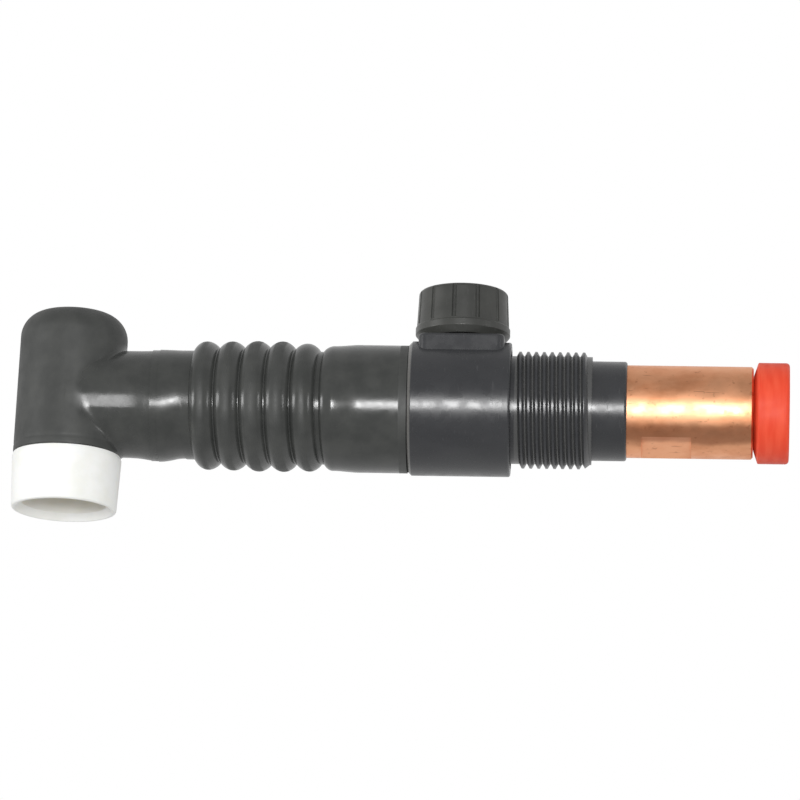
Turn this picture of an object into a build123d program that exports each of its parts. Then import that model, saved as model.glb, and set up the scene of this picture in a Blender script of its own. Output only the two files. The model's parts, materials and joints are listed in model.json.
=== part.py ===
"""Air-cooled TIG torch with a flexible neck and a gas valve, without handle, cup or cable.

Millimetres. The origin is the centre of the shoulder that the handle butts against, on the
torch axis. +X runs along the torch towards the cable, +Z towards the valve knob and back cap.
"""
from build123d import *
import os
from math import cos, radians, sin

os.makedirs("parts", exist_ok=True)

# ---- Head: a barrel across the torch axis, leaning slightly towards the handle ----
HEAD_X = -83.45
HEAD_LEAN = 1.56
HEAD_R = 10.1
HEAD_TOP = 17.45
HEAD_BOTTOM = -10.25
HEAD_TOP_ROUND = 4.6
HEAD_MOUTH_R = 5.9
BARREL_R = 7.0
BARREL_TOP = 15.95
BARREL_BOTTOM = -14.5
BACK_CAP_R = 5.6
BACK_CAP_DEPTH = 10.0
COLLET_BODY_R = 4.35
COLLET_BODY_DEPTH = 10.5
CHAMBER_R = 3.2
MOUTH_CHAMFER = 0.5
EDGE = 0.3
CUT = 1.0

# ---- Cup gasket ----
GASKET_R = 10.35
GASKET_LIP_R = 9.95
GASKET_BOTTOM = -20.7
GASKET_STEP = 0.15
GASKET_STEP_HEIGHT = 0.6
GASKET_LIP_ROUND = 0.4
GASKET_MOUTH_R = 9.2
GASKET_FLARE_HEIGHT = 1.3
GASKET_CUP_R = 8.1
GASKET_FLOOR_GAP = 0.4
SLIP = 0.06

# ---- Flexible neck: rings between the head boot and the rear cuff ----
RING_COUNT = 5
RING_PITCH = 4.77
FIRST_RING_X = -38.22
RING_CREST_R = 12.25
RING_BORE_R = 7.5
RING_HALF_WIDTH = 1.3
CONDUCTOR_R = 5.2
CONDUCTOR_LENGTH = 3.8
CONDUCTOR_END_ROUND = 0.8
GAS_BORE_R = 2.2
NECK_R = 10.0
NECK_FRONT_END = -61.6
NECK_EDGE = 0.8
STUB_R = 5.5
STUB_FRONT = HEAD_X + BARREL_R - 0.4
STUB_END = -68.0
FERRULE_R = 6.5
FERRULE_FRONT = STUB_FRONT + 1.6
FERRULE_CLEARANCE = 0.7

# ---- Rear cuff ----
CUFF_R = 12.0
CUFF_FRONT = -34.6
CUFF_REAR = -19.4
CUFF_ROUND = 2.0

# ---- Valve housing with handle thread ----
HOUSING_R = 12.7
HOUSING_FRONT = -19.3
HOUSING_CHAMFER = 0.7
SHOULDER_EDGE = 0.4
SHOULDER_RELIEF_R = 11.25
SHOULDER_RELIEF = 0.3
SPIGOT_R = 8.6
SPIGOT_FRONT = -27.0
THREAD_PITCH = 1.5
THREAD_CREST_R = 11.05
THREAD_ROOT_R = 10.2
THREAD_START = 1.6
THREAD_END = 15.3
THREAD_RUNOUT = 0.5
THREAD_LEAD = 1.6
THREAD_LAND_HALF = 0.2
THREAD_TRIM = 0.2
THREAD_BED = 0.12
THREAD_BED_HALF = 0.735
NOSE_R = 9.4
NOSE_END = 21.9
NOSE_ROUND = 0.5
TUBE_R = 6.0
TUBE_BORE_R = 3.0

# ---- Valve, on a vertical axis ----
VALVE_X = -9.4
BOSS_LENGTH = 16.2
BOSS_WIDTH = 17.0
BOSS_CORNER = 1.6
BOSS_TOP = 12.75
BOSS_ROUND = 0.5
BODY_R = 8.0
BODY_FRONT = -17.0
BODY_REAR = -1.5
TURRET_R = 4.2
TURRET_TOP = 10.0
SEAT_Z = -1.0
SEAT_BORE_R = 1.2
LOW_PASSAGE_Z = -3.6
HIGH_PASSAGE_Z = 1.4
PASSAGE_R = 1.4
POCKET_DEPTH = 1.6
STEM_R = 2.0
STEM_TOP = 20.8
NEEDLE_TIP_Z = -1.75
NEEDLE_TIP_R = 0.5
NEEDLE_LENGTH = 1.75
NEEDLE_BACK_R = 1.9
ORING_Z = 6.4
ORING_R = 2.0
ORING_SECTION_R = 0.5
ORING_PLAY = 0.15
ORING_CHAMBER_R = 2.56
ORING_CHAMBER_BOTTOM = 4.9
GLAND_FLANGE_TOP = 11.4
GLAND_BOTTOM = 8.6
GLAND_R = 3.0
RUN = 0.05

# ---- Knob ----
KNOB_BOTTOM = 13.05
KNOB_SKIRT_Z = 14.3
KNOB_FLUTE_Z = 15.5
KNOB_TOP = 22.65
KNOB_BOTTOM_R = 7.9
KNOB_SKIRT_R = 8.95
KNOB_BASE_R = 8.75
KNOB_TOP_R = 8.4
KNOB_EDGE = 0.7
KNOB_SKIRT_EDGE = 0.15
KNOB_STEP = 0.2
KNOB_GROOVES = 12
KNOB_GROOVE_R = 0.42
KNOB_GROOVE_TURN = -100.0
KNOB_WALL = 1.7
KNOB_WEB_Z = 19.6
KNOB_HUB_R = 3.9

# ---- Rear connector and its transit plug ----
CONNECTOR_R = 8.75
CONNECTOR_END = 45.7
CONNECTOR_CHAMFER = 0.35
PLUG_BORE_R = 5.6
PLUG_BORE_DEPTH = 5.0
CABLE_THREAD_R = 5.2
CABLE_THREAD_DEPTH = 13.5
TUBE_END = 29.0
FLAT_FRONT = 24.7
FLAT_REAR = 34.1
FLAT_DEPTH = 1.0
FLAT_TURN = 15.5
PLUG_R = 9.55
PLUG_END = 52.5
PLUG_GAP = 0.05
PLUG_FACE_R = 7.0
PLUG_CONE = 0.85
PLUG_LIP_ROUND = 0.3
PLUG_END_ROUND = 0.7
PLUG_STEM_R = 5.53
PLUG_STEM_LENGTH = 4.4
PLUG_WALL = 1.5

# ---- Planes and axes worked out from the dimensions above ----
LEAN = (sin(radians(HEAD_LEAN)), 0, cos(radians(HEAD_LEAN)))
HEAD_CENTRE = (HEAD_X, 0, 0)
HEAD_SECTION = Plane(origin=HEAD_CENTRE, x_dir=(LEAN[2], 0, -LEAN[0]), z_dir=(0, -1, 0))
HEAD_AXIS = Axis(HEAD_CENTRE, LEAN)
VALVE_SECTION = Plane(origin=(VALVE_X, 0, 0), x_dir=(1, 0, 0), z_dir=(0, -1, 0))
VALVE_AXIS = Axis((VALVE_X, 0, 0), (0, 0, 1))


def section(corners, plane=Plane.XZ):
    """Closed outline to revolve, from (first, second) or (first, second, rounding) corners."""
    with BuildSketch(plane) as outline:
        with BuildLine():
            Polyline(*[corner[:2] for corner in corners], close=True)
        make_face()
        for corner in corners:
            if len(corner) == 3:
                vertex = outline.vertices().sort_by_distance((corner[0], corner[1], 0))[0]
                fillet(vertex, corner[2])
    return outline.sketch


def tube_section(start, end, outer, inner):
    """Half section of a plain tube along the torch axis."""
    return section([(start, inner), (start, outer), (end, outer), (end, inner)])


def joint_x(number):
    """Station of neck joint 1, next to the cuff, to joint 6, next to the head."""
    return FIRST_RING_X + RING_PITCH / 2 - RING_PITCH * (number - 1)


def ring_x(number):
    return FIRST_RING_X - RING_PITCH * (number - 1)


def finish(part, name):
    """Label a finished piece and write its STEP file."""
    part.label = name
    export_step(part, f"parts/{name}.step")


# ---- Head barrel: brass tube with both threads' minor bores and a stub for the neck ----
back_cap_floor = BARREL_TOP - BACK_CAP_DEPTH
collet_floor = BARREL_BOTTOM + COLLET_BODY_DEPTH
with BuildPart() as head_barrel:
    revolve(
        section(
            [
                (0, BARREL_BOTTOM),
                (BARREL_R, BARREL_BOTTOM, EDGE),
                (BARREL_R, BARREL_TOP, EDGE),
                (0, BARREL_TOP),
            ],
            HEAD_SECTION,
        ),
        HEAD_AXIS,
    )
    revolve(section([(HEAD_X, 0), (HEAD_X, STUB_R), (STUB_END, STUB_R), (STUB_END, 0)]), Axis.X)
    revolve(
        section(
            [
                (0, BARREL_BOTTOM - CUT),
                (COLLET_BODY_R + MOUTH_CHAMFER + CUT, BARREL_BOTTOM - CUT),
                (COLLET_BODY_R, BARREL_BOTTOM + MOUTH_CHAMFER),
                (COLLET_BODY_R, collet_floor),
                (CHAMBER_R, collet_floor),
                (CHAMBER_R, back_cap_floor),
                (BACK_CAP_R, back_cap_floor),
                (BACK_CAP_R, BARREL_TOP - MOUTH_CHAMFER),
                (BACK_CAP_R + MOUTH_CHAMFER + CUT, BARREL_TOP + CUT),
                (0, BARREL_TOP + CUT),
            ],
            HEAD_SECTION,
        ),
        HEAD_AXIS,
        mode=Mode.SUBTRACT,
    )
    revolve(
        section([(HEAD_X, 0), (HEAD_X, GAS_BORE_R), (0, GAS_BORE_R), (0, 0)]),
        Axis.X,
        mode=Mode.SUBTRACT,
    )
finish(head_barrel.part, "head_barrel")

# ---- Front ferrule: crimped over the stub and the front end of the flexible conductor ----
ferrule_end = joint_x(RING_COUNT + 1) - CONDUCTOR_LENGTH / 2 - FERRULE_CLEARANCE
with BuildPart() as front_ferrule:
    revolve(
        section(
            [
                (FERRULE_FRONT, STUB_R),
                (FERRULE_FRONT, FERRULE_R, EDGE),
                (ferrule_end, FERRULE_R, EDGE),
                (ferrule_end, GAS_BORE_R),
                (STUB_END, GAS_BORE_R),
                (STUB_END, STUB_R),
            ]
        ),
        Axis.X,
    )
finish(front_ferrule.part, "front_ferrule")

# ---- Head boot: silicone moulding over the barrel and the front of the neck ----
with BuildPart() as head_boot:
    revolve(
        section(
            [
                (0, HEAD_BOTTOM),
                (HEAD_R, HEAD_BOTTOM, EDGE),
                (HEAD_R, HEAD_TOP, HEAD_TOP_ROUND),
                (0, HEAD_TOP),
            ],
            HEAD_SECTION,
        ),
        HEAD_AXIS,
    )
    revolve(
        section([(HEAD_X, 0), (HEAD_X, NECK_R), (NECK_FRONT_END, NECK_R, NECK_EDGE), (NECK_FRONT_END, 0)]),
        Axis.X,
    )
    revolve(
        section(
            [
                (0, HEAD_BOTTOM - CUT),
                (BARREL_R, HEAD_BOTTOM - CUT),
                (BARREL_R, BARREL_TOP),
                (HEAD_MOUTH_R, BARREL_TOP),
                (HEAD_MOUTH_R, HEAD_TOP + CUT),
                (0, HEAD_TOP + CUT),
            ],
            HEAD_SECTION,
        ),
        HEAD_AXIS,
        mode=Mode.SUBTRACT,
    )
    revolve(
        section(
            [
                (HEAD_X, 0),
                (HEAD_X, STUB_R),
                (FERRULE_FRONT, STUB_R),
                (FERRULE_FRONT, FERRULE_R),
                (NECK_FRONT_END + CUT, FERRULE_R),
                (NECK_FRONT_END + CUT, 0),
            ]
        ),
        Axis.X,
        mode=Mode.SUBTRACT,
    )
finish(head_boot.part, "head_boot")

# ---- Cup gasket: PTFE cup pushed over the barrel, with a flared mouth that the ceramic cup seats on ----
gasket_top = HEAD_BOTTOM - RUN
gasket_floor = BARREL_BOTTOM - GASKET_FLOOR_GAP
with BuildPart() as cup_gasket:
    revolve(
        section(
            [
                (BARREL_R + SLIP, gasket_top),
                (GASKET_R - GASKET_STEP, gasket_top),
                (GASKET_R - GASKET_STEP, gasket_top - GASKET_STEP_HEIGHT),
                (GASKET_R, gasket_top - GASKET_STEP_HEIGHT),
                (GASKET_LIP_R, GASKET_BOTTOM, GASKET_LIP_ROUND),
                (GASKET_MOUTH_R, GASKET_BOTTOM),
                (GASKET_CUP_R, GASKET_BOTTOM + GASKET_FLARE_HEIGHT),
                (GASKET_CUP_R, gasket_floor),
                (BARREL_R + SLIP, gasket_floor),
            ],
            HEAD_SECTION,
        ),
        HEAD_AXIS,
    )
finish(cup_gasket.part, "cup_gasket")

# ---- Neck rings: silicone corrugations with rounded crests ----
ring_shoulder_r = RING_CREST_R - RING_HALF_WIDTH
for number in range(1, RING_COUNT + 1):
    x = ring_x(number)
    with BuildPart() as neck_ring:
        with BuildSketch(Plane.XZ):
            with BuildLine():
                Polyline(
                    (x + RING_HALF_WIDTH, ring_shoulder_r),
                    (x + RING_HALF_WIDTH, RING_BORE_R),
                    (x - RING_HALF_WIDTH, RING_BORE_R),
                    (x - RING_HALF_WIDTH, ring_shoulder_r),
                )
                ThreePointArc(
                    (x - RING_HALF_WIDTH, ring_shoulder_r),
                    (x, RING_CREST_R),
                    (x + RING_HALF_WIDTH, ring_shoulder_r),
                )
            make_face()
        revolve(axis=Axis.X)
    finish(neck_ring.part, f"neck_ring_{number}")

# ---- Flexible conductor: copper segments with rounded ends, one at each neck joint ----
half = CONDUCTOR_LENGTH / 2
for number in range(1, RING_COUNT + 2):
    x = joint_x(number)
    with BuildPart() as neck_conductor:
        revolve(
            section(
                [
                    (x - half, GAS_BORE_R),
                    (x - half, CONDUCTOR_R, CONDUCTOR_END_ROUND),
                    (x + half, CONDUCTOR_R, CONDUCTOR_END_ROUND),
                    (x + half, GAS_BORE_R),
                ]
            ),
            Axis.X,
        )
    finish(neck_conductor.part, f"neck_conductor_{number}")

# ---- Rear ferrule: crimped on the rear end of the conductor, brazed into the valve body ----
rear_ferrule_front = joint_x(1) + half + FERRULE_CLEARANCE
with BuildPart() as rear_ferrule:
    revolve(tube_section(rear_ferrule_front, BODY_FRONT, FERRULE_R, GAS_BORE_R), Axis.X)
finish(rear_ferrule.part, "rear_ferrule")

# ---- Rear cuff: silicone sleeve stretched over the ferrule and the housing's spigot ----
with BuildPart() as rear_cuff:
    revolve(
        section(
            [
                (CUFF_FRONT, FERRULE_R),
                (CUFF_FRONT, CUFF_R, CUFF_ROUND),
                (CUFF_REAR, CUFF_R),
                (CUFF_REAR, SPIGOT_R),
                (SPIGOT_FRONT, SPIGOT_R),
                (SPIGOT_FRONT, FERRULE_R),
            ]
        ),
        Axis.X,
    )
finish(rear_cuff.part, "rear_cuff")

# ---- Handle thread: single-start right-hand helix that runs out in a cone at the nose ----
thread_height = THREAD_CREST_R - THREAD_ROOT_R
with BuildPart() as handle_thread:
    with BuildLine() as thread_line:
        Helix(
            pitch=THREAD_PITCH,
            height=THREAD_END - THREAD_RUNOUT - THREAD_START,
            radius=THREAD_ROOT_R,
            center=(THREAD_START, 0, 0),
            direction=(1, 0, 0),
        )
    helix = thread_line.line
    foot = helix @ 0
    with BuildSketch(Plane(origin=foot, x_dir=(0, foot.Y, foot.Z), z_dir=helix % 0)):
        with BuildLine():
            Polyline(
                (-THREAD_BED, -THREAD_BED_HALF),
                (thread_height, -THREAD_LAND_HALF),
                (thread_height, THREAD_LAND_HALF),
                (-THREAD_BED, THREAD_BED_HALF),
                close=True,
            )
        make_face()
    sweep(path=helix, is_frenet=True)
    revolve(
        section(
            [
                (0, 0),
                (0, HOUSING_R),
                (THREAD_END - THREAD_LEAD, HOUSING_R),
                (THREAD_END - THREAD_LEAD, THREAD_CREST_R + THREAD_TRIM),
                (THREAD_END, THREAD_ROOT_R - THREAD_TRIM),
                (THREAD_END, 0),
            ]
        ),
        Axis.X,
        mode=Mode.INTERSECT,
    )

# ---- Valve housing: phenolic moulding with spigot, valve boss, handle thread and nose ----
with BuildPart() as valve_housing:
    revolve(
        section(
            [
                (SPIGOT_FRONT, 0),
                (SPIGOT_FRONT, SPIGOT_R),
                (HOUSING_FRONT, SPIGOT_R),
                (HOUSING_FRONT, HOUSING_R - HOUSING_CHAMFER),
                (HOUSING_FRONT + HOUSING_CHAMFER, HOUSING_R),
                (0, HOUSING_R, SHOULDER_EDGE),
                (0, SHOULDER_RELIEF_R),
                (-SHOULDER_RELIEF, SHOULDER_RELIEF_R),
                (-SHOULDER_RELIEF, THREAD_ROOT_R),
                (THREAD_END, THREAD_ROOT_R),
                (THREAD_END, NOSE_R),
                (NOSE_END, NOSE_R, NOSE_ROUND),
                (NOSE_END, 0),
            ]
        ),
        Axis.X,
    )
    with BuildSketch(Plane(origin=(VALVE_X, 0, 0))):
        RectangleRounded(BOSS_LENGTH, BOSS_WIDTH, BOSS_CORNER)
    extrude(amount=BOSS_TOP)
    fillet(valve_housing.edges().group_by(Axis.Z)[-1], BOSS_ROUND)
    add(handle_thread.part)
    revolve(
        section(
            [
                (SPIGOT_FRONT - CUT, 0),
                (SPIGOT_FRONT - CUT, FERRULE_R),
                (BODY_FRONT, FERRULE_R),
                (BODY_FRONT, BODY_R),
                (BODY_REAR, BODY_R),
                (BODY_REAR, TUBE_R),
                (NOSE_END + CUT, TUBE_R),
                (NOSE_END + CUT, 0),
            ]
        ),
        Axis.X,
        mode=Mode.SUBTRACT,
    )
    revolve(
        section([(0, 0), (TURRET_R, 0), (TURRET_R, BOSS_TOP + CUT), (0, BOSS_TOP + CUT)], VALVE_SECTION),
        VALVE_AXIS,
        mode=Mode.SUBTRACT,
    )
finish(valve_housing.part, "valve_housing")

# ---- Valve body: brass block with the needle seat, gas passages and a turret for the stem ----
with BuildPart() as valve_body:
    revolve(section([(BODY_FRONT, 0), (BODY_FRONT, BODY_R), (BODY_REAR, BODY_R), (BODY_REAR, 0)]), Axis.X)
    revolve(
        section([(0, 0), (TURRET_R, 0), (TURRET_R, TURRET_TOP), (0, TURRET_TOP)], VALVE_SECTION),
        VALVE_AXIS,
    )
    revolve(
        section(
            [
                (0, LOW_PASSAGE_Z),
                (SEAT_BORE_R, LOW_PASSAGE_Z),
                (SEAT_BORE_R, SEAT_Z),
                (STEM_R + RUN, SEAT_Z),
                (STEM_R + RUN, ORING_CHAMBER_BOTTOM),
                (ORING_CHAMBER_R, ORING_CHAMBER_BOTTOM),
                (ORING_CHAMBER_R, GLAND_BOTTOM),
                (GLAND_R, GLAND_BOTTOM),
                (GLAND_R, TURRET_TOP + CUT),
                (0, TURRET_TOP + CUT),
            ],
            VALVE_SECTION,
        ),
        VALVE_AXIS,
        mode=Mode.SUBTRACT,
    )
    with BuildSketch(Plane.YZ.offset(BODY_FRONT)):
        with Locations((0, LOW_PASSAGE_Z)):
            Circle(PASSAGE_R)
    extrude(amount=VALVE_X - BODY_FRONT, mode=Mode.SUBTRACT)
    with BuildSketch(Plane.YZ.offset(BODY_FRONT)):
        Circle(FERRULE_R - 1)
    extrude(amount=POCKET_DEPTH, mode=Mode.SUBTRACT)
    with BuildSketch(Plane.YZ.offset(VALVE_X)):
        with Locations((0, HIGH_PASSAGE_Z)):
            Circle(PASSAGE_R)
    extrude(amount=BODY_REAR - VALVE_X, mode=Mode.SUBTRACT)
finish(valve_body.part, "valve_body")

# ---- Gland nut: screwed into the turret, keeps the stem and its seal in ----
with BuildPart() as gland_nut:
    revolve(
        section(
            [
                (STEM_R + RUN, GLAND_BOTTOM),
                (GLAND_R, GLAND_BOTTOM),
                (GLAND_R, TURRET_TOP),
                (TURRET_R, TURRET_TOP),
                (TURRET_R, GLAND_FLANGE_TOP, EDGE),
                (STEM_R + RUN, GLAND_FLANGE_TOP),
            ],
            VALVE_SECTION,
        ),
        VALVE_AXIS,
    )
finish(gland_nut.part, "gland_nut")

# ---- Valve stem: needle point, seal groove and a plain top that the knob is pressed on ----
groove_half = ORING_SECTION_R + ORING_PLAY
groove_r = ORING_R - ORING_SECTION_R - RUN
with BuildPart() as valve_stem:
    revolve(
        section(
            [
                (0, NEEDLE_TIP_Z),
                (NEEDLE_TIP_R, NEEDLE_TIP_Z),
                (NEEDLE_BACK_R, NEEDLE_TIP_Z + NEEDLE_LENGTH),
                (STEM_R, NEEDLE_TIP_Z + NEEDLE_LENGTH + STEM_R - NEEDLE_BACK_R),
                (STEM_R, ORING_Z - groove_half),
                (groove_r, ORING_Z - groove_half),
                (groove_r, ORING_Z + groove_half),
                (STEM_R, ORING_Z + groove_half),
                (STEM_R, STEM_TOP),
                (0, STEM_TOP),
            ],
            VALVE_SECTION,
        ),
        VALVE_AXIS,
    )
finish(valve_stem.part, "valve_stem")

# ---- Stem seal: O-ring in the stem's groove ----
with BuildPart() as stem_oring:
    with BuildSketch(VALVE_SECTION):
        with Locations((ORING_R, ORING_Z)):
            Circle(ORING_SECTION_R)
    revolve(axis=VALVE_AXIS)
finish(stem_oring.part, "stem_oring")

# ---- Valve knob: hollow moulding with a bevelled skirt and narrow vertical grooves ----
with BuildPart() as valve_knob:
    revolve(
        section(
            [
                (STEM_R, KNOB_BOTTOM),
                (KNOB_HUB_R, KNOB_BOTTOM),
                (KNOB_HUB_R, KNOB_WEB_Z),
                (KNOB_BOTTOM_R - KNOB_WALL, KNOB_WEB_Z),
                (KNOB_BOTTOM_R - KNOB_WALL, KNOB_BOTTOM),
                (KNOB_BOTTOM_R, KNOB_BOTTOM),
                (KNOB_SKIRT_R, KNOB_SKIRT_Z, KNOB_SKIRT_EDGE),
                (KNOB_SKIRT_R, KNOB_FLUTE_Z, KNOB_SKIRT_EDGE),
                (KNOB_BASE_R, KNOB_FLUTE_Z + KNOB_STEP),
                (KNOB_TOP_R, KNOB_TOP, KNOB_EDGE),
                (0, KNOB_TOP),
                (0, STEM_TOP),
                (STEM_R, STEM_TOP),
            ],
            VALVE_SECTION,
        ),
        VALVE_AXIS,
    )
    for index in range(KNOB_GROOVES):
        angle = radians(KNOB_GROOVE_TURN + index * 360 / KNOB_GROOVES)
        outward = Vector(cos(angle), sin(angle), 0)
        foot = Vector(VALVE_X, 0, KNOB_FLUTE_Z + 2 * KNOB_STEP) + outward * KNOB_BASE_R
        tip = Vector(VALVE_X, 0, KNOB_TOP) + outward * KNOB_TOP_R
        with BuildSketch(Plane(origin=foot, z_dir=tip - foot)):
            Circle(KNOB_GROOVE_R)
        extrude(amount=(tip - foot).length + CUT, mode=Mode.SUBTRACT)
finish(valve_knob.part, "valve_knob")

# ---- Rear tube: brass tube that carries gas and current through the handle thread ----
with BuildPart() as rear_tube:
    revolve(tube_section(BODY_REAR, TUBE_END, TUBE_R, TUBE_BORE_R), Axis.X)
finish(rear_tube.part, "rear_tube")

# ---- Rear connector: copper, with two wrench flats, the cable thread's minor bore and a plain
# mouth in front of it that takes the transit plug ----
thread_floor = CONNECTOR_END - CABLE_THREAD_DEPTH
with BuildPart() as rear_connector:
    revolve(
        section(
            [
                (NOSE_END, TUBE_R),
                (NOSE_END, CONNECTOR_R),
                (CONNECTOR_END - CONNECTOR_CHAMFER, CONNECTOR_R),
                (CONNECTOR_END, CONNECTOR_R - CONNECTOR_CHAMFER),
                (CONNECTOR_END, PLUG_BORE_R + MOUTH_CHAMFER),
                (CONNECTOR_END - MOUTH_CHAMFER, PLUG_BORE_R),
                (CONNECTOR_END - PLUG_BORE_DEPTH, PLUG_BORE_R),
                (CONNECTOR_END - PLUG_BORE_DEPTH, CABLE_THREAD_R),
                (thread_floor, CABLE_THREAD_R),
                (thread_floor, TUBE_BORE_R),
                (TUBE_END, TUBE_BORE_R),
                (TUBE_END, TUBE_R),
            ]
        ),
        Axis.X,
    )
    flat_middle = (FLAT_FRONT + FLAT_REAR) / 2
    for turn in (FLAT_TURN, FLAT_TURN + 180):
        down = Vector(0, -sin(radians(turn)), -cos(radians(turn)))
        centre = Vector(flat_middle, 0, 0) + down * (CONNECTOR_R - FLAT_DEPTH)
        with BuildSketch(Plane(origin=centre, x_dir=(1, 0, 0), z_dir=down)):
            Rectangle(FLAT_REAR - FLAT_FRONT, 2 * CONNECTOR_R)
        extrude(amount=2 * FLAT_DEPTH, mode=Mode.SUBTRACT)
finish(rear_connector.part, "rear_connector")

# ---- Transit plug: soft cap whose hollow stem closes the mouth of the cable thread ----
plug_face = CONNECTOR_END + PLUG_GAP
with BuildPart() as transit_plug:
    revolve(
        section(
            [
                (plug_face - PLUG_STEM_LENGTH, PLUG_STEM_R - PLUG_WALL),
                (plug_face - PLUG_STEM_LENGTH, PLUG_STEM_R, EDGE),
                (plug_face, PLUG_STEM_R),
                (plug_face, PLUG_FACE_R),
                (plug_face + PLUG_CONE, PLUG_R, PLUG_LIP_ROUND),
                (PLUG_END, PLUG_R, PLUG_END_ROUND),
                (PLUG_END, 0),
                (PLUG_END - PLUG_WALL, 0),
                (PLUG_END - PLUG_WALL, PLUG_STEM_R - PLUG_WALL),
            ]
        ),
        Axis.X,
    )
finish(transit_plug.part, "transit_plug")
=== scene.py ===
"""Looks of the TIG torch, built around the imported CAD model.

The neck, head and cuff get a silicone skin in mesh code, in rigid lengths that follow the neck's
joints. The other pieces keep their CAD shape and get procedural materials. Metres, in the row frame.
"""
import json
import math

import bmesh
import bpy
import numpy as np
from mathutils import Matrix, Vector


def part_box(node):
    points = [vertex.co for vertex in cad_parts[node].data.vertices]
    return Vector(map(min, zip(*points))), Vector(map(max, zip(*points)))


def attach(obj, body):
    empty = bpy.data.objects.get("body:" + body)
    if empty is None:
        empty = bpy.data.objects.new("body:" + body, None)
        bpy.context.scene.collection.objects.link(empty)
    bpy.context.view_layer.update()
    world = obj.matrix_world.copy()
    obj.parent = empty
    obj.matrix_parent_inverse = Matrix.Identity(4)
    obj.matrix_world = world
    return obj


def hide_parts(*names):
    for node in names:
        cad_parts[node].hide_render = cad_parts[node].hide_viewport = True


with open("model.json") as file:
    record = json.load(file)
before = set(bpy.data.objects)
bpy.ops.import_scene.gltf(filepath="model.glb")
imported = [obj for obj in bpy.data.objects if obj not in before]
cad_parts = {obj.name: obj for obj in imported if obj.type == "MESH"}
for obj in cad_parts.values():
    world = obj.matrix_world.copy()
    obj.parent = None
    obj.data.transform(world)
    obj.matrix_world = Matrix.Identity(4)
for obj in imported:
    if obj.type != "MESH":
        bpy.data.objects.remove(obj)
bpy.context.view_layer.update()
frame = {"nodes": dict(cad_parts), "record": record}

MM = 0.001
scene = bpy.context.scene
nodes = frame["nodes"]
mounts = {mount["name"]: mount for mount in frame["record"]["mounts"]}

# ---- Stations along the torch axis, from the CAD nodes ----
RINGS = 5


def middle_x(node):
    low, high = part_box(node)
    return (low.x + high.x) / 2


ring_x = [middle_x(f"neck_ring_{number}") for number in range(1, RINGS + 1)]
joint_x = [middle_x(f"neck_conductor_{number}") for number in range(1, RINGS + 2)]
pitch = ring_x[0] - ring_x[1]

# ---- Camera: long lens, below the torch and slightly to its cable side ----
CAMERA_AZIMUTH = 2.4
CAMERA_ELEVATION = -14.5
CAMERA_ROLL = 1.42
CAMERA_DISTANCE = 1.443
CAMERA_LENS = 343.6
AIM_X = -20.98 * MM
AIM_RISE = 1.58 * MM


def direction(azimuth, elevation):
    """Unit vector from the torch towards that azimuth and elevation, in degrees. 0, 0 is -Y."""
    a = math.radians(azimuth)
    e = math.radians(elevation)
    return Vector((math.sin(a) * math.cos(e), -math.cos(a) * math.cos(e), math.sin(e)))


def make_camera():
    back = direction(CAMERA_AZIMUTH, CAMERA_ELEVATION)
    level = Vector((math.cos(math.radians(CAMERA_AZIMUTH)), math.sin(math.radians(CAMERA_AZIMUTH)), 0))
    upright = back.cross(level)
    roll = math.radians(CAMERA_ROLL)
    right = level * math.cos(roll) + upright * math.sin(roll)
    up = upright * math.cos(roll) - level * math.sin(roll)
    data = bpy.data.cameras.new("camera")
    data.lens = CAMERA_LENS
    data.sensor_width = 36
    data.clip_start = 0.05
    data.clip_end = 50
    camera = bpy.data.objects.new("camera", data)
    place = Vector((AIM_X, 0, 0)) + up * AIM_RISE + back * CAMERA_DISTANCE
    camera.matrix_world = Matrix.Translation(place) @ Matrix((right, up, back)).transposed().to_4x4()
    scene.collection.objects.link(camera)
    scene.camera = camera


# ---- Light: white surroundings, a box just above the camera and a softbox on each side ----
def area_light(name, azimuth, elevation, distance, width, height, radiance):
    """Softbox facing the torch. radiance is its brightness, with the white background at 1."""
    data = bpy.data.lights.new(name, "AREA")
    data.shape = "RECTANGLE"
    data.size = width
    data.size_y = height
    data.energy = radiance * math.pi * width * height
    light = bpy.data.objects.new(name, data)
    back = direction(azimuth, elevation)
    light.location = Vector((AIM_X, 0, 0)) + back * distance
    light.rotation_euler = back.to_track_quat("Z", "Y").to_euler()
    light.visible_camera = False
    scene.collection.objects.link(light)


def make_lights():
    area_light("strip_box", azimuth=1.5, elevation=-6.5, distance=1.4, width=0.36, height=0.26, radiance=38)
    area_light("left_box", azimuth=-68, elevation=2, distance=1.2, width=0.55, height=0.3, radiance=9)
    area_light("right_box", azimuth=64, elevation=2, distance=1.2, width=0.16, height=0.3, radiance=8)


WORLD_FRONT_Y = -0.3
WORLD_BACK_Y = 0.6
WORLD_FRONT_LIGHT = 0.5
WORLD_BACK_LIGHT = 1.0


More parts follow.
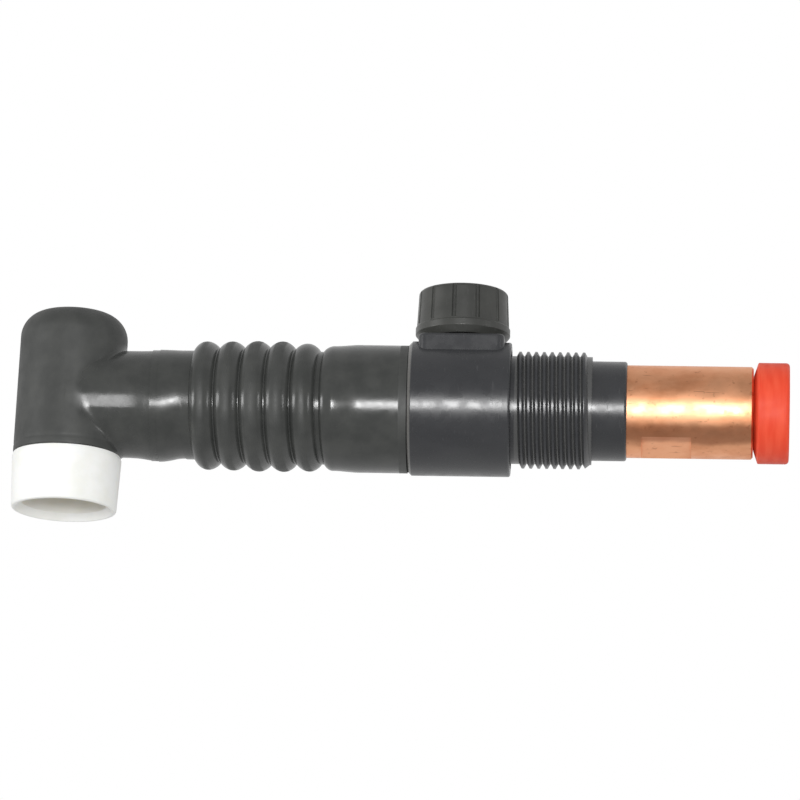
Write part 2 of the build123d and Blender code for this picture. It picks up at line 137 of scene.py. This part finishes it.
def make_world():
    """White for the camera. As light it is bright behind the torch and dimmer on the camera's side."""
    world = bpy.data.worlds.new("studio")
    scene.world = world
    world.use_nodes = True
    tree = world.node_tree
    tree.nodes.clear()
    place = tree.nodes.new("ShaderNodeTexCoord")
    split = tree.nodes.new("ShaderNodeSeparateXYZ")
    level = tree.nodes.new("ShaderNodeMapRange")
    level.inputs["From Min"].default_value = WORLD_FRONT_Y
    level.inputs["From Max"].default_value = WORLD_BACK_Y
    level.inputs["To Min"].default_value = WORLD_FRONT_LIGHT
    level.inputs["To Max"].default_value = WORLD_BACK_LIGHT
    lighting = tree.nodes.new("ShaderNodeBackground")
    backdrop = tree.nodes.new("ShaderNodeBackground")
    backdrop.inputs["Color"].default_value = (1, 1, 1, 1)
    path = tree.nodes.new("ShaderNodeLightPath")
    mix = tree.nodes.new("ShaderNodeMixShader")
    output = tree.nodes.new("ShaderNodeOutputWorld")
    tree.links.new(place.outputs["Generated"], split.inputs[0])
    tree.links.new(split.outputs["Y"], level.inputs["Value"])
    tree.links.new(level.outputs["Result"], lighting.inputs["Strength"])
    tree.links.new(path.outputs["Is Camera Ray"], mix.inputs["Fac"])
    tree.links.new(lighting.outputs[0], mix.inputs[1])
    tree.links.new(backdrop.outputs[0], mix.inputs[2])
    tree.links.new(mix.outputs[0], output.inputs["Surface"])


# ---- Materials ----
class Graph:
    """A Principled material with short calls that add nodes in front of it."""

    def __init__(self, name, **values):
        self.material = bpy.data.materials.new(name)
        self.material.use_nodes = True
        self.tree = self.material.node_tree
        self.shader = self.tree.nodes["Principled BSDF"]
        self.place = self.tree.nodes.new("ShaderNodeTexCoord").outputs["Object"]
        for socket, value in values.items():
            self.shader.inputs[socket.replace("_", " ")].default_value = value

    def node(self, kind, inputs, output=0, **settings):
        made = self.tree.nodes.new("ShaderNode" + kind)
        for name, value in settings.items():
            setattr(made, name, value)
        for name, value in inputs.items():
            if isinstance(value, bpy.types.NodeSocket):
                self.tree.links.new(value, made.inputs[name])
            else:
                made.inputs[name].default_value = value
        return made.outputs[output]

    def stretch(self, x, y, z):
        """The object's place with each axis scaled, for grain that runs one way."""
        return self.node("Mapping", {"Vector": self.place, "Scale": (x, y, z)})

    def noise(self, scale, detail=3.0, roughness=0.5, place=None):
        inputs = {"Vector": place or self.place, "Scale": scale, "Detail": detail, "Roughness": roughness}
        return self.node("TexNoise", inputs)

    def ramp(self, value, start, end, low=0.0, high=1.0):
        """value mapped so that start gives low and end gives high, clamped."""
        inputs = {"Value": value, "From Min": start, "From Max": end, "To Min": low, "To Max": high}
        return self.node("MapRange", inputs, interpolation_type="SMOOTHSTEP")

    def math(self, operation, first, second=0.0):
        return self.node("Math", {0: first, 1: second}, operation=operation)

    def mix(self, factor, first, second):
        """Colour between first and second. Colours are linear (red, green, blue)."""
        made = self.tree.nodes.new("ShaderNodeMix")
        made.data_type = "RGBA"
        for index, value in ((0, factor), (6, first), (7, second)):
            if isinstance(value, bpy.types.NodeSocket):
                self.tree.links.new(value, made.inputs[index])
            else:
                made.inputs[index].default_value = value if index == 0 else (*value, 1)
        return made.outputs[2]

    def spread(self):
        """Distance from the torch axis."""
        return self.node("VectorMath", {0: self.stretch(0, 1, 1)}, 1, operation="LENGTH")

    def axis(self, name):
        return self.node("SeparateXYZ", {0: self.place}, name)

    def set(self, socket, value):
        self.tree.links.new(value, self.shader.inputs[socket])

    def bump(self, height, depth, under=None):
        """Adds relief: height runs 0 to 1 and stands for depth in metres."""
        inputs = {"Height": height, "Distance": depth, "Strength": 1.0}
        if under is not None:
            inputs["Normal"] = under
        normal = self.node("Bump", inputs)
        self.set("Normal", normal)
        return normal


def silicone(name, matt, gloss, waves):
    """Black silicone rubber: cloudy dark grey with handling dust and broad, shallow waves.

    matt(g) is 1 where the gloss is worn off. waves is the waves' height."""
    g = Graph(name, IOR=1.45)
    clouds = g.ramp(g.noise(240, 5), 0.3, 0.7)
    colour = g.mix(clouds, (0.042, 0.044, 0.042), (0.057, 0.059, 0.056))
    dust = g.ramp(g.noise(4200, 2), 0.66, 0.78, 0, 0.12)
    colour = g.mix(dust, colour, (0.20, 0.195, 0.18))
    worn = matt(g)
    smear = g.ramp(g.noise(500, 4), 0.3, 0.7, gloss - 0.04, gloss + 0.05)
    g.set("Base Color", colour)
    g.set("Roughness", g.math("ADD", smear, g.math("MULTIPLY", worn, 0.3)))
    grain = g.bump(g.noise(5200, 2), 2e-6)
    dents = g.bump(g.noise(600, 2), 0.12 * waves, grain)
    g.bump(g.noise(150, 1), waves, dents)
    return g.material


WEAR_EDGE = 0.1 * MM
HEM_WEAR_START = 1.6 * MM
HEM_WEAR_FULL = 1.35 * MM
NECK_SHINE_START = 0.6 * MM
NECK_SHINE_FULL = 3.2 * MM
NECK_SHINE_RISE = 0.15 * MM
NECK_SHINE_END = 1.6 * MM


def worn_crests(g):
    """Worn where a ring stands higher than the plain neck and the cuff."""
    return g.ramp(g.spread(), CUFF_R - WEAR_EDGE, CUFF_R + WEAR_EDGE)


def worn_hem(g):
    """Worn in a band along the cuff's end at the housing."""
    return g.ramp(g.axis("X"), cuff_high.x - HEM_WEAR_START, cuff_high.x - HEM_WEAR_FULL)


def worn_barrel(g):
    """Worn all over the head but for its neck."""
    neck = g.ramp(g.axis("X"), HEAD_X + NECK_SHINE_START, HEAD_X + NECK_SHINE_FULL)
    near = g.ramp(g.spread(), NECK_R + NECK_SHINE_RISE, NECK_R + NECK_SHINE_END, 1, 0)
    return g.math("SUBTRACT", 1.0, g.math("MULTIPLY", neck, near))


def phenolic(name, dark, light, gloss, edge_x=None, roots=None):
    """Black moulded plastic: slight flow marks, fine scratches and an orange-peel surface.

    edge_x is the station of an edge with a painted highlight: a lighter line that stands in for light
    caught by the edge. roots is the start, end, root radius and crest radius of a
    thread whose roots are painted lighter: painted light against the shade that falls in them."""
    g = Graph(name, IOR=1.5)
    flow = g.ramp(g.noise(180, 4, place=g.stretch(0.5, 1, 1)), 0.3, 0.7)
    colour = g.mix(flow, dark, light)
    scratch_grain = g.noise(900, 2, 0.4, g.stretch(6, 1, 0.35))
    scratches = g.ramp(scratch_grain, 0.69, 0.73, 0, 0.10)
    colour = g.mix(scratches, colour, (0.22, 0.22, 0.22))
    if edge_x is not None:
        # Painted highlight: a lighter line along the edge at edge_x, standing in for light caught by the
        # housing's chamfer.
        away = g.math("ABSOLUTE", g.math("SUBTRACT", g.axis("X"), edge_x))
        painted_edge_highlight = g.ramp(away, 0.1 * MM, 0.4 * MM, 0.4, 0.0)
        colour = g.mix(painted_edge_highlight, colour, (0.26, 0.25, 0.23))
    if roots is not None:
        start, end, root_r, crest_r = roots
        # Painted light: the thread's roots are made lighter, lifting the shade that falls in them.
        deep = g.ramp(g.spread(), root_r, crest_r, 1, 0)
        x = g.axis("X")
        along = g.math("MULTIPLY", g.math("GREATER_THAN", x, start), g.math("LESS_THAN", x, end))
        root_light = g.math("MULTIPLY", g.math("MULTIPLY", deep, along), 0.6)
        colour = g.mix(root_light, colour, (0.12, 0.12, 0.118))
    g.set("Base Color", colour)
    smear = g.ramp(g.noise(420, 4), 0.3, 0.7, gloss, gloss + 0.1)
    g.set("Roughness", g.math("ADD", smear, scratches))
    peel = g.bump(g.noise(1100, 2), 5e-6)
    g.bump(g.math("MULTIPLY", scratches, -1.0), 8e-6, peel)
    return g.material


# Painted reflection on the copper: a dark band at this angle below the front, with its half width and its
# fade.
REFLECTION_BAND_ANGLE = math.radians(44)
REFLECTION_BAND_HALF = 0.12
REFLECTION_BAND_EDGE = 0.34


def copper():
    """Turned copper, handled and tarnished in patches, with spots and fine scratches, and a painted dark
    reflection in one band below the front.
    """
    g = Graph("worn_copper", Metallic=1.0)
    patina = g.ramp(g.noise(150, 6, 0.6, g.stretch(0.6, 1, 1)), 0.42, 0.70)
    colour = g.mix(patina, (0.93, 0.46, 0.255), (0.76, 0.33, 0.165))
    spots = g.ramp(g.noise(900, 3), 0.62, 0.72, 0, 0.45)
    colour = g.mix(spots, colour, (0.42, 0.16, 0.085))
    scratch_grain = g.noise(700, 2, 0.4, g.stretch(0.3, 2.6, 3))
    scratches = g.ramp(scratch_grain, 0.70, 0.73, 0, 0.5)
    colour = g.mix(scratches, colour, (0.50, 0.22, 0.12))
    # Painted reflection: a darker band round the part at a fixed angle below the front, with ragged edges.
    y, z = g.axis("Y"), g.axis("Z")
    low = g.math("ARCTAN2", g.math("MULTIPLY", z, -1.0), g.math("MULTIPLY", y, -1.0))
    ragged = g.math("MULTIPLY", g.math("SUBTRACT", g.noise(300, 3, 0.5, g.stretch(0.5, 1, 1)), 0.5), 0.35)
    off = g.math("ABSOLUTE", g.math("SUBTRACT", g.math("ADD", low, ragged), REFLECTION_BAND_ANGLE))
    band = g.ramp(off, REFLECTION_BAND_HALF, REFLECTION_BAND_EDGE, 0.62, 0.0)
    colour = g.mix(band, colour, (0.34, 0.125, 0.062))
    g.set("Base Color", colour)
    turned = g.noise(1, 2, 0.5, g.stretch(9000, 60, 60))
    smear = g.ramp(g.noise(420, 5), 0.3, 0.7, 0.38, 0.50)
    g.set("Roughness", smear)
    lines = g.bump(turned, 1.6e-6)
    waves = g.bump(g.noise(260, 3), 20e-6, lines)
    g.bump(g.math("MULTIPLY", scratches, -1.0), 12e-6, waves)
    return g.material


def ptfe():
    """White PTFE: waxy, faintly cream, with light turning lines."""
    g = Graph("white_ptfe", IOR=1.38, Subsurface_Weight=0.2, Subsurface_Scale=0.002)
    g.shader.inputs["Subsurface Radius"].default_value = (1.0, 0.9, 0.75)
    clouds = g.ramp(g.noise(260, 4), 0.3, 0.75)
    colour = g.mix(clouds, (0.94, 0.945, 0.92), (0.89, 0.895, 0.85))
    grime = g.ramp(g.noise(1500, 4), 0.66, 0.76, 0, 0.10)
    colour = g.mix(grime, colour, (0.40, 0.38, 0.32))
    g.set("Base Color", colour)
    g.set("Roughness", g.ramp(g.noise(800, 3), 0.3, 0.7, 0.34, 0.48))
    g.bump(g.noise(1, 2, 0.5, g.stretch(80, 80, 6000)), 3e-6)
    return g.material


def ldpe():
    """Orange-red polyethylene cap: slightly translucent, with flow streaks."""
    g = Graph("orange_polyethylene", IOR=1.42, Subsurface_Weight=0.15, Subsurface_Scale=0.002)
    g.shader.inputs["Subsurface Radius"].default_value = (1.0, 0.35, 0.2)
    streaks = g.ramp(g.noise(1, 3, 0.5, g.stretch(900, 140, 140)), 0.3, 0.7)
    colour = g.mix(streaks, (0.80, 0.062, 0.022), (0.85, 0.092, 0.038))
    g.set("Base Color", colour)
    g.set("Roughness", g.ramp(g.noise(500, 3), 0.3, 0.7, 0.5, 0.62))
    g.bump(g.noise(900, 3), 10e-6)
    return g.material


def machined(name, bright, dull, gloss):
    """Turned metal with fine lines round the part and a duller film in patches."""
    g = Graph(name, Metallic=1.0)
    film = g.ramp(g.noise(350, 5, 0.6), 0.4, 0.65)
    g.set("Base Color", g.mix(film, bright, dull))
    g.set("Roughness", g.ramp(film, 0, 1, gloss, gloss + 0.15))
    g.bump(g.noise(6000, 2), 2e-6)
    return g.material


def rubber_seal():
    g = Graph("nitrile_rubber", IOR=1.45)
    clouds = g.noise(900, 4)
    g.set("Base Color", g.mix(clouds, (0.018, 0.018, 0.019), (0.035, 0.035, 0.036)))
    g.set("Roughness", g.ramp(clouds, 0.3, 0.7, 0.45, 0.6))
    g.bump(g.noise(7000, 2), 4e-6)
    return g.material


def paint(material, *names):
    """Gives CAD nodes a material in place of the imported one."""
    for name in names:
        mesh = nodes[name].data
        mesh.materials.clear()
        mesh.materials.append(material)


# ---- Silicone skin: one outline from the head's neck to the housing, cut at the joints ----
AROUND = 192
ANGLES = np.arange(AROUND) * 2 * math.pi / AROUND
WALL = np.full(AROUND, 9.0 * MM)
SKIN_STEP = 0.09 * MM
CREST_R = [r * MM for r in (12.10, 12.33, 12.33, 12.20, 12.14)]
CREST_ROUND = 2.25 * MM
VALLEY_R = [r * MM for r in (10.45, 10.75, 11.05, 10.88, 10.76)]
VALLEY_SOFT = 1.5 * MM
CUFF_FRONT_R = 11.8 * MM
CUFF_FRONT_ROUND = 1.7 * MM
CUFF_R = 12.08 * MM
CUFF_SWELL = 5 * MM
CUFF_SAG = 0.22 * MM
NECK_R = 10.12 * MM
NECK_SEAM_X = joint_x[-1] - 6.7 * MM
BULGE_HALF = 3.0 * MM
BULGE_ALL_ROUND = 0.10 * MM
BULGE_UNDER = 0.48 * MM
DIP_X = joint_x[-1] - 2.1 * MM
DIP_HALF = 1.9 * MM
DIP_ALL_ROUND = 0.05 * MM
DIP_UNDER = 0.60 * MM
PAD_ANGLE = math.radians(190)
PAD_DEPTH = 0.05 * MM
PAD_SOFT = 0.08 * MM
PAD_END_X = NECK_SEAM_X - 6.3 * MM
PAD_FADE = 4.0 * MM
TONGUE = 1.4 * MM
TONGUE_DROP = 0.1 * MM
LEAN = 0.085
cuff_front_x = joint_x[0] + pitch / 2
cuff_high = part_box("rear_cuff")[1]


def soft_max(a, b, k):
    """The larger of a and b, with a fillet of about k where they cross."""
    h = np.clip(0.5 + 0.5 * (a - b) / k, 0, 1)
    return b + (a - b) * h + k * h * (1 - h)


def soft_min(a, b, k):
    return -soft_max(-a, -b, k)


def smooth(t):
    t = np.clip(t, 0, 1)
    return t * t * (3 - 2 * t)


def arc(x, crest_x, crest_r, bend_r):
    """Radius of a round crest, and of the floor that its ends stand on."""
    return crest_r - bend_r + np.sqrt(np.maximum(bend_r**2 - (x - crest_x) ** 2, 0))


def neck_r(x, angle):
    """Radius of the plain neck between the head and the last ring. angle 90 degrees is up."""
    under = np.clip(-np.sin(angle), 0, 1)
    bulge = np.exp(-(((x - NECK_SEAM_X) / BULGE_HALF) ** 2))
    dip = np.exp(-(((x - DIP_X) / DIP_HALF) ** 2))
    raised = (BULGE_ALL_ROUND + BULGE_UNDER * under) * bulge
    lowered = (DIP_ALL_ROUND + DIP_UNDER * under) * dip
    neck = NECK_R + raised - lowered
    facing = np.cos(angle - PAD_ANGLE)
    pad = np.where(facing > 0.5, (NECK_R - PAD_DEPTH) / np.maximum(facing, 0.5), 1.0)
    fade = smooth((PAD_END_X + PAD_FADE - x) / PAD_FADE)
    return neck + fade * (soft_min(neck, pad, PAD_SOFT) - neck)


def skin_r(x, angle):
    """Outer radius of the skin at x and angle, from the plain neck to the cuff's front."""
    crests = [(cuff_front_x, CUFF_FRONT_R, CUFF_FRONT_ROUND)]
    crests += [(ring_x[index], CREST_R[index], CREST_ROUND) for index in range(RINGS)]
    result = np.full(np.broadcast(x, angle).shape, CUFF_FRONT_R)
    for index in range(RINGS):
        valley = joint_x[index]
        for crest_x, crest_r, bend_r in crests[index : index + 2]:
            inside = (x - valley) * (crest_x - valley) >= 0
            inside = inside & (abs(x - valley) <= abs(crest_x - valley))
            flank = soft_max(arc(x, crest_x, crest_r, bend_r), VALLEY_R[index], VALLEY_SOFT)
            result = np.where(inside, flank, result)
    foot = soft_max(arc(x, ring_x[-1], CREST_R[-1], CREST_ROUND), neck_r(x, angle), VALLEY_SOFT)
    sag = CUFF_SAG * smooth((x - ring_x[1]) / (cuff_front_x - ring_x[1]))
    return np.where(x < ring_x[-1], foot, result) - sag * np.sin(angle)


def lean(x):
    """Slope of the rings across the neck: the side nearer the camera stands further to the head."""
    head_end = smooth((x - NECK_SEAM_X) / (joint_x[-1] - NECK_SEAM_X))
    cuff_end = smooth((cuff_front_x - x) / (cuff_front_x - joint_x[0]))
    return LEAN * head_end * cuff_end


SHARP_ANGLE = math.radians(40)


def new_mesh(name, points, faces, material):
    """Smooth-shaded mesh object that stays crisp at edges over the sharp angle."""
    mesh = bpy.data.meshes.new(name)
    mesh.from_pydata(points.tolist(), [], np.asarray(faces).tolist())
    mesh.update()
    mesh.shade_smooth()
    mesh.set_sharp_from_angle(angle=SHARP_ANGLE)
    mesh.materials.append(material)
    piece = bpy.data.objects.new(name, mesh)
    scene.collection.objects.link(piece)
    return piece


def ring_shell(name, loop, material):
    """Closed shell about the torch axis.

    loop lists the points round its section as (x, radius), with a radius for each angle."""
    rows = []
    for x, r in loop:
        y = r * np.cos(ANGLES)
        rows.append(np.stack([x + lean(x) * y, y, r * np.sin(ANGLES)], axis=1))
    points = np.concatenate(rows)
    count = len(loop)
    faces = []
    for row in range(count):
        after = (row + 1) % count
        for step in range(AROUND):
            beside = (step + 1) % AROUND
            here = (row * AROUND + step, row * AROUND + beside)
            there = (after * AROUND + beside, after * AROUND + step)
            faces.append(here + there)
    piece = new_mesh(name, points, faces, material)
    face_out(piece)
    return piece


def face_out(piece):
    """Turns a closed mesh's faces outwards."""
    work = bmesh.new()
    work.from_mesh(piece.data)
    bmesh.ops.recalc_face_normals(work, faces=work.faces)
    work.to_mesh(piece.data)
    work.free()


def skin_shell(name, rear_x, front_x, radius, material, relief=True):
    """Length of skin from rear_x forward to front_x, with a thin lip that runs on under the next length.

    The lip fills the valley when the neck bends. With relief, the wall is cut back in front of rear_x
    for the lip of the length behind."""
    count = max(12, int((rear_x - front_x) / SKIN_STEP))
    outer = [(x, radius(x, ANGLES)) for x in np.linspace(rear_x, front_x, count)]
    lip_r = radius(front_x, ANGLES) - TONGUE_DROP
    end_x = front_x - TONGUE
    outer += [(front_x, lip_r), (end_x, lip_r)]
    wall = [(end_x, WALL)]
    if relief:
        relief_x = rear_x - TONGUE - 2 * TONGUE_DROP
        relief_r = radius(rear_x, ANGLES) - TONGUE_DROP / 2
        wall += [(relief_x, WALL), (relief_x, relief_r), (rear_x, relief_r)]
    else:
        wall += [(rear_x, WALL)]
    return ring_shell(name, outer + wall, material)


def make_neck_skin(material):
    """One length for each ring, from valley to valley, then the plain neck up to the head's skin."""
    for index in range(RINGS):
        name = f"neck_skin_{index + 1}"
        ring = skin_shell(name, joint_x[index], joint_x[index + 1], skin_r, material)
        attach(ring, f"ring_link_{index + 1}")
        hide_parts(f"neck_ring_{index + 1}")
    neck = skin_shell("neck_skin_head", joint_x[-1], NECK_SEAM_X, skin_r, material)
    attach(neck, "head")


def cuff_profile(x, angle):
    """Sleeve that swells slightly towards the housing and is a little thicker underneath."""
    swell = smooth((x - cuff_front_x) / CUFF_SWELL)
    return CUFF_FRONT_R + (CUFF_R - CUFF_FRONT_R) * swell - CUFF_SAG * np.sin(angle)


def cuff_r(x, angle):
    return cuff_profile(x, angle) if x > cuff_front_x else skin_r(x, angle)


def make_cuff(material):
    cuff = skin_shell("rear_cuff_skin", cuff_high.x, joint_x[0], cuff_r, material, relief=False)
    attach(cuff, "rear_body")
    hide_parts("rear_cuff")


# ---- Head skin: a distance field of barrel sleeve and neck, meshed on a fine grid ----
HEAD_R = 10.12 * MM
HEAD_TAPER = 0.12 * MM
HEAD_TOP_ROUND = 4.9 * MM
HEAD_MOUTH_R = 5.9 * MM
HEAD_CELL = 0.3 * MM
SNAP = 0.45 * HEAD_CELL
JOIN_SOFT = 0.5 * MM
EDGE_SOFT = 0.35 * MM
HEM_HEIGHT = 1.6 * MM
HEM_DEPTH = 0.09 * MM
HEM_HALF = 0.16 * MM
head_mount = mounts["back_cap_thread"]
head_axis = Vector(head_mount["axis"])
HEAD_X = head_mount["pos_m"][0] - head_mount["pos_m"][2] * head_axis.x / head_axis.z
boot_low, boot_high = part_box("head_boot")
barrel_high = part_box("head_barrel")[1]
BARREL_R = barrel_high.y
FERRULE_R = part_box("front_ferrule")[1].y
HEAD_TOP = (boot_high.z - HEAD_MOUTH_R * head_axis.x) / head_axis.z
HEAD_BOTTOM = (boot_low.z + boot_high.y * head_axis.x) / head_axis.z
BARREL_TOP = (barrel_high.z - BARREL_R * head_axis.x) / head_axis.z


def head_field(points):
    """Signed distance to the head skin, near enough, for an array of points."""
    x, y, z = points[..., 0], points[..., 1], points[..., 2]
    height = (x - HEAD_X) * head_axis.x + z * head_axis.z
    across = (x - HEAD_X) * head_axis.z - z * head_axis.x
    spread = np.sqrt(across**2 + y**2)
    wall = HEAD_R + HEAD_TAPER * np.clip((HEAD_TOP - height) / (HEAD_TOP - HEAD_BOTTOM), 0, 1)
    dx = spread - (wall - HEAD_TOP_ROUND)
    dz = height - (HEAD_TOP - HEAD_TOP_ROUND)
    corner = np.sqrt(np.maximum(dx, 0) ** 2 + np.maximum(dz, 0) ** 2) + np.minimum(np.maximum(dx, dz), 0)
    barrel = corner - HEAD_TOP_ROUND
    barrel = barrel + HEM_DEPTH * np.exp(-(((height - HEAD_BOTTOM - HEM_HEIGHT) / HEM_HALF) ** 2))
    barrel = soft_max(barrel, HEAD_BOTTOM - height, EDGE_SOFT)
    angle = np.arctan2(z, y)
    neck = np.sqrt(y**2 + z**2) - neck_r(x, angle)
    neck = np.maximum(neck, HEAD_X - x)
    solid = soft_min(barrel, neck, JOIN_SOFT)
    solid = np.maximum(solid, x - NECK_SEAM_X)
    bore = np.maximum(spread - BARREL_R, height - BARREL_TOP)
    mouth = spread - HEAD_MOUTH_R
    mouth = np.maximum(mouth, -height)
    inside = np.maximum(np.sqrt(y**2 + z**2) - FERRULE_R, HEAD_X - x)
    hollow = np.minimum(bore, inside)
    solid = np.maximum(solid, -hollow)
    return soft_max(solid, -mouth, EDGE_SOFT)


def crossing_faces(inside, number, axis):
    """One quad for each grid edge along axis that crosses the surface. number gives each cell's point."""
    other = [i for i in range(3) if i != axis]
    here = np.moveaxis(inside, axis, 0)
    change = np.moveaxis(here[:-1] != here[1:], 0, axis)
    where = np.argwhere(change)
    where = where[(where[:, other[0]] > 0) & (where[:, other[1]] > 0)]
    keep = np.ones(len(where), bool)
    for i in other:
        keep &= where[:, i] < number.shape[i]
    where = where[keep]
    quad = []
    for a, b in ((0, 0), (1, 0), (1, 1), (0, 1)):
        index = where.copy()
        index[:, other[0]] -= a
        index[:, other[1]] -= b
        quad.append(number[index[:, 0], index[:, 1], index[:, 2]])
    return np.stack(quad, axis=1)


def field_mesh(field, low, high, cell):
    """Surface net of a distance field: one point in the middle of each cell that the surface crosses."""
    axes = [np.arange(low[i], high[i] + cell, cell) for i in range(3)]
    grid = np.stack(np.meshgrid(*axes, indexing="ij"), axis=-1)
    value = field(grid)
    inside = value < 0
    nx, ny, nz = np.array(value.shape) - 1
    corners = np.zeros((nx, ny, nz), int)
    for dx in (0, 1):
        for dy in (0, 1):
            for dz in (0, 1):
                corners += inside[dx : nx + dx, dy : ny + dy, dz : nz + dz]
    crossed = (corners > 0) & (corners < 8)
    number = np.full(crossed.shape, -1)
    number[crossed] = np.arange(crossed.sum())
    points = grid[:-1, :-1, :-1][crossed] + cell / 2
    return points, np.concatenate([crossing_faces(inside, number, axis) for axis in range(3)])


def settle(points, field, cell, rounds):
    """Moves points onto the field's zero surface along its slope."""
    step = 0.02 * cell
    for _ in range(rounds):
        value = field(points)
        rises = [field(points + step * unit) - field(points - step * unit) for unit in np.eye(3)]
        slope = np.stack([rise / (2 * step) for rise in rises], axis=1)
        length = np.maximum((slope**2).sum(axis=1), 0.25)
        move = -slope * (value / length)[:, None]
        limit = 0.5 * cell / np.maximum(np.linalg.norm(move, axis=1), 1e-12)
        points = points + move * np.minimum(limit, 1)[:, None]
    return points


def relax(points, faces, rounds):
    """Evens out the spacing of a mesh's points."""
    a = faces.ravel()
    b = np.roll(faces, -1, axis=1).ravel()
    for _ in range(rounds):
        total = np.zeros_like(points)
        count = np.zeros(len(points))
        for start, end in ((a, b), (b, a)):
            np.add.at(total, start, points[end])
            np.add.at(count, start, 1)
        points = points + 0.5 * (total / count[:, None] - points)
    return points


def snap_seam(points):
    """Moves the points at the cut end of the neck exactly onto its plane and its rim."""
    seam = np.abs(points[:, 0] - NECK_SEAM_X) < SNAP
    points[seam, 0] = NECK_SEAM_X
    angle = np.arctan2(points[:, 2], points[:, 1])
    spread = np.hypot(points[:, 1], points[:, 2])
    rim_r = neck_r(points[:, 0], angle)
    rim = seam & (np.abs(spread - rim_r) < SNAP)
    points[rim, 1] = (rim_r * np.cos(angle))[rim]
    points[rim, 2] = (rim_r * np.sin(angle))[rim]


def make_head(material):
    """The head's skin. The grid is set so that the neck's cut end falls midway between its stations."""
    margin = 1.5 * HEAD_CELL
    low = np.array([boot_low.x, boot_low.y, boot_low.z]) - margin
    high = np.array([NECK_SEAM_X + HEAD_CELL, boot_high.y, boot_high.z]) + margin
    low[0] = NECK_SEAM_X + HEAD_CELL / 2 - HEAD_CELL * math.ceil((NECK_SEAM_X - low[0]) / HEAD_CELL + 1)
    points, faces = field_mesh(head_field, low, high, HEAD_CELL)
    points = settle(points, head_field, HEAD_CELL, 4)
    points = relax(points, faces, 2)
    points = settle(points, head_field, HEAD_CELL, 8)
    snap_seam(points)
    head = new_mesh("head_boot_skin", points, faces, material)
    face_out(head)
    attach(head, "head")
    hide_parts("head_boot")


# Station of the housing's painted edge highlight, just in front of the cuff's end.
PAINTED_EDGE_HIGHLIGHT_X = cuff_high.x + 0.4 * MM
THREAD_START = 0.8 * MM
THREAD_END = 15.4 * MM
THREAD_ROOT_R = 10.2 * MM
THREAD_CREST_R = 11.05 * MM


def make_pieces_look():
    """Materials of the pieces that keep their CAD shape."""
    thread = (THREAD_START, THREAD_END, THREAD_ROOT_R, THREAD_CREST_R)
    dark, light = (0.031, 0.032, 0.035), (0.039, 0.040, 0.043)
    housing = phenolic("black_phenolic", dark, light, gloss=0.23, edge_x=PAINTED_EDGE_HIGHLIGHT_X, roots=thread)
    knob = phenolic("knob_phenolic", (0.042, 0.043, 0.040), (0.056, 0.057, 0.052), gloss=0.30)
    brass = machined("turned_brass", (0.78, 0.57, 0.25), (0.52, 0.36, 0.16), gloss=0.22)
    steel = machined("stainless_steel", (0.62, 0.61, 0.59), (0.45, 0.44, 0.42), gloss=0.2)
    conductors = [f"neck_conductor_{number}" for number in range(1, RINGS + 2)]
    paint(housing, "valve_housing")
    paint(knob, "valve_knob")
    paint(copper(), "rear_connector", *conductors)
    paint(ptfe(), "cup_gasket")
    paint(ldpe(), "transit_plug")
    paint(brass, "head_barrel", "valve_body", "gland_nut", "rear_tube", "front_ferrule", "rear_ferrule")
    paint(steel, "valve_stem")
    paint(rubber_seal(), "stem_oring")


scene.view_settings.view_transform = "Standard"
scene.view_settings.look = "None"
make_camera()
make_lights()
make_world()

make_pieces_look()
make_neck_skin(silicone("neck_rubber", worn_crests, gloss=0.22, waves=60e-6))
make_cuff(silicone("cuff_rubber", worn_hem, gloss=0.20, waves=22e-6))
make_head(silicone("head_rubber", worn_barrel, gloss=0.24, waves=60e-6))
